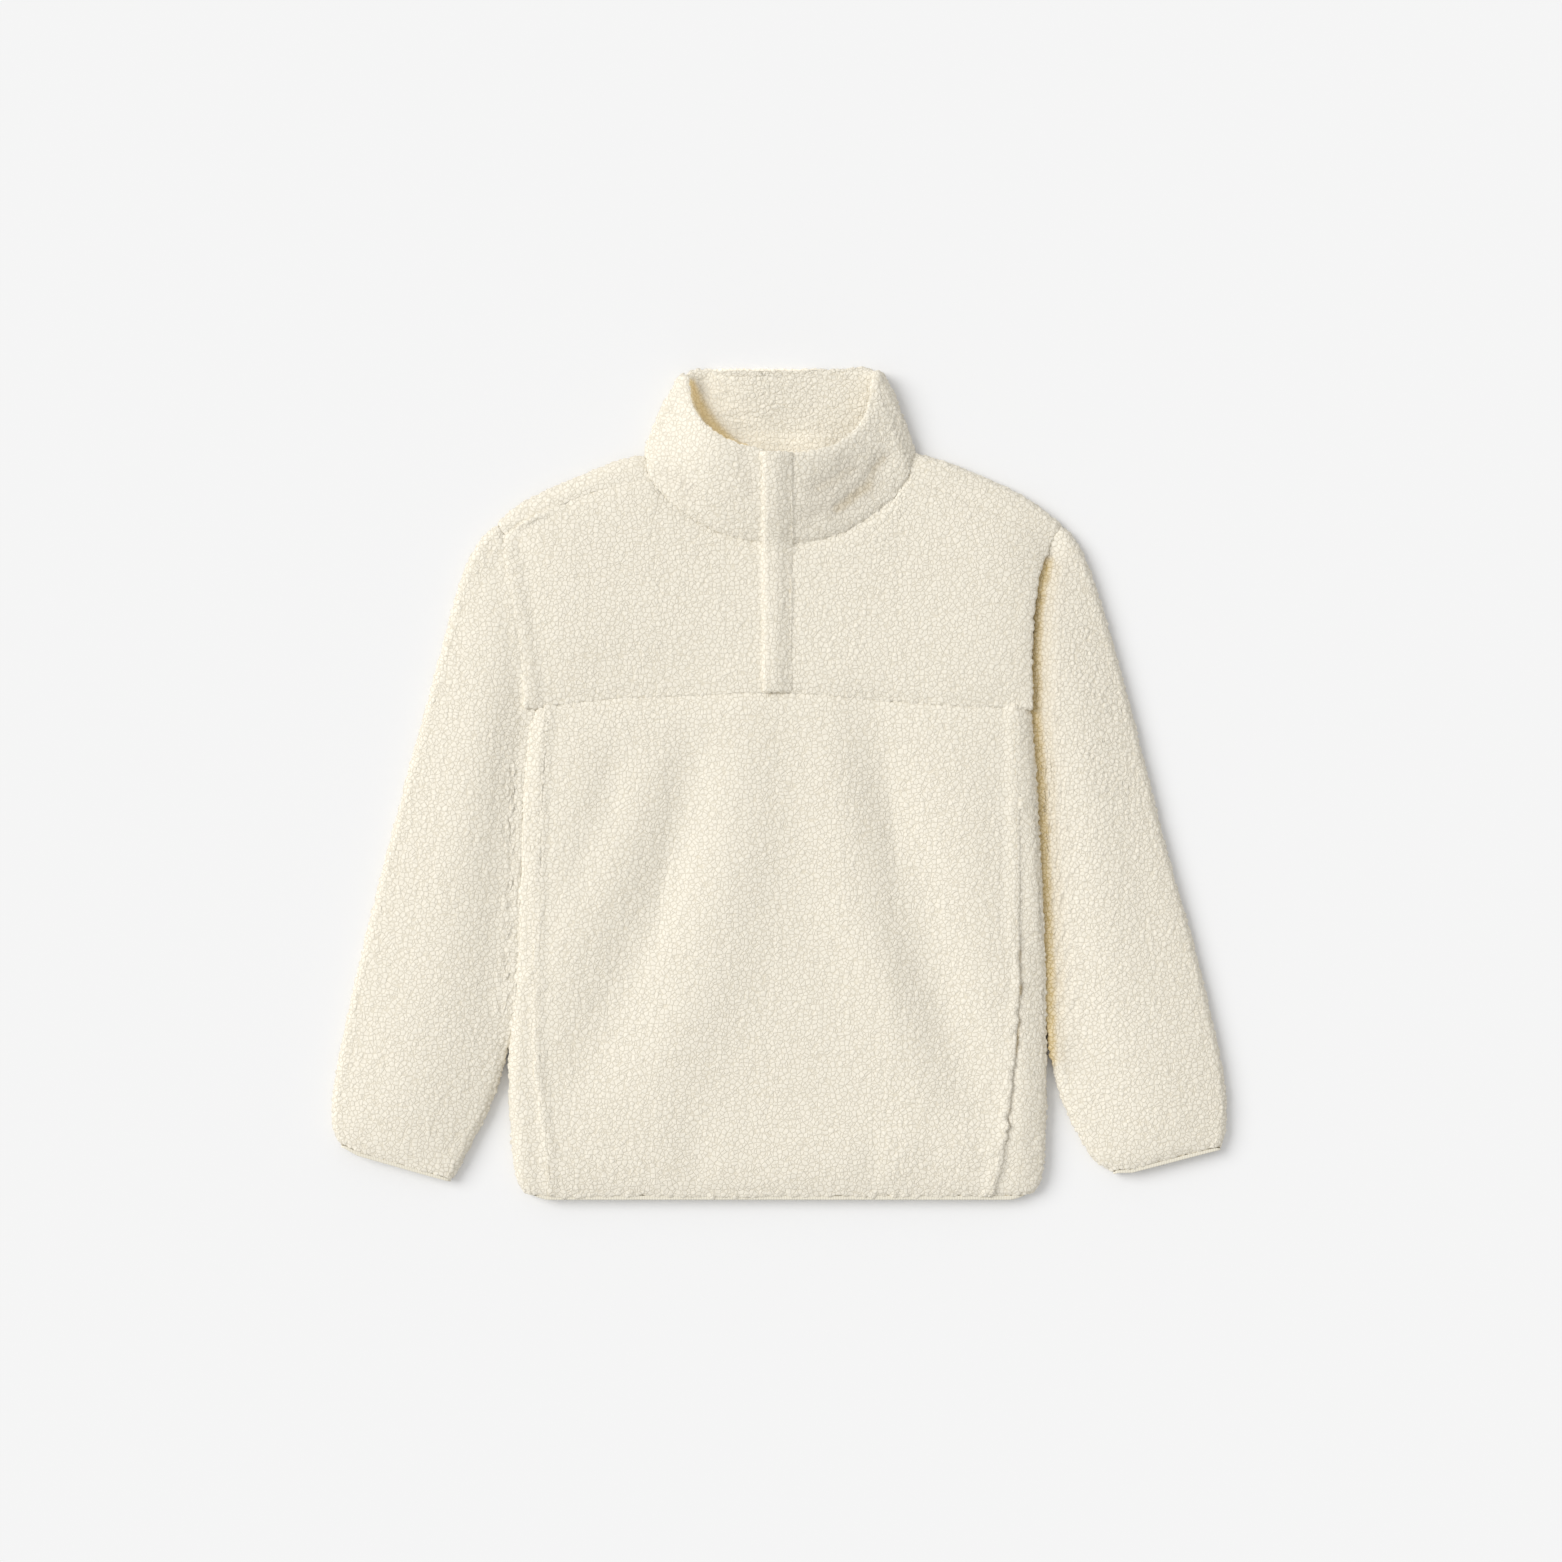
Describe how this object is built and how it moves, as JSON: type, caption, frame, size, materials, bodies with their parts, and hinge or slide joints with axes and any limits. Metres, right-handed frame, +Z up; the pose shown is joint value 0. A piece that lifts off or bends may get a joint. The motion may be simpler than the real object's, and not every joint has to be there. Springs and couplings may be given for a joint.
{
  "type": "sherpa fleece pullover",
  "caption": "Cream sherpa fleece pullover with a stand collar, covered front placket and chest seam, lying flat with its sleeves beside it.",
  "frame": {"origin": "on the surface the garment lies on, under the middle of its box", "axes": "+X towards the wearer's left sleeve, +Y towards the collar, +Z up from the surface, out of the front"},
  "size_m": [0.8162, 0.7562, 0.0499],
  "materials": {
    "sherpa_fleece": "cream high-pile sherpa fleece, pebbled and matt",
    "elastic_binding": "cream knitted elastic tape, matt"
  },
  "bodies": {
    "root": {"back": "sherpa_fleece", "front_lower": "sherpa_fleece", "yoke_right": "sherpa_fleece", "yoke_left": "sherpa_fleece", "sleeve_right": "sherpa_fleece", "sleeve_left": "sherpa_fleece", "collar": "sherpa_fleece", "placket": "sherpa_fleece", "hem_binding": "elastic_binding", "cuff_binding_right": "elastic_binding", "cuff_binding_left": "elastic_binding"}
  },
  "joints": []
}
